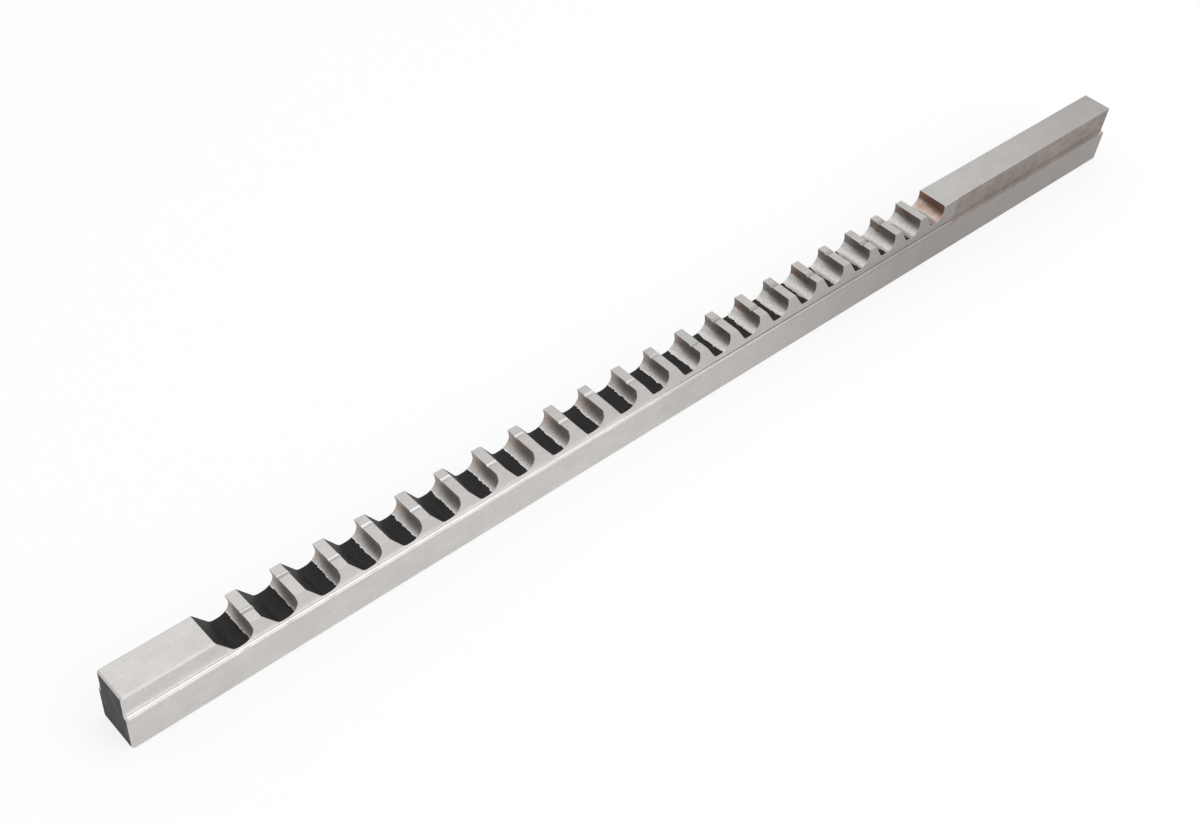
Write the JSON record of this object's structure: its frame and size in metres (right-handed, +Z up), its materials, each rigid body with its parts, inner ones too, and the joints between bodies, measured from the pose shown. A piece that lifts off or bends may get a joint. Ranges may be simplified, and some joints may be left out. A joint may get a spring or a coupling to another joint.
{
  "type": "keyway broach",
  "caption": "Push-type keyway broach: stepped steel bar with a plain pilot, a row of rising hooked teeth with staggered chip breakers, and a plain shank for a press.",
  "frame": {"origin": "middle of the flat back that the broach lies on, halfway along its length", "axes": "+X along the broach from the pilot to the shank, +Y across it, +Z up through the teeth"},
  "size_m": [0.2986, 0.0096, 0.0158],
  "materials": {
    "ground_steel": "ground bright on the sides, lands and cutting faces, dark heat scale in the gullets"
  },
  "bodies": {
    "root": {"keyway_broach": "ground_steel"}
  },
  "joints": []
}
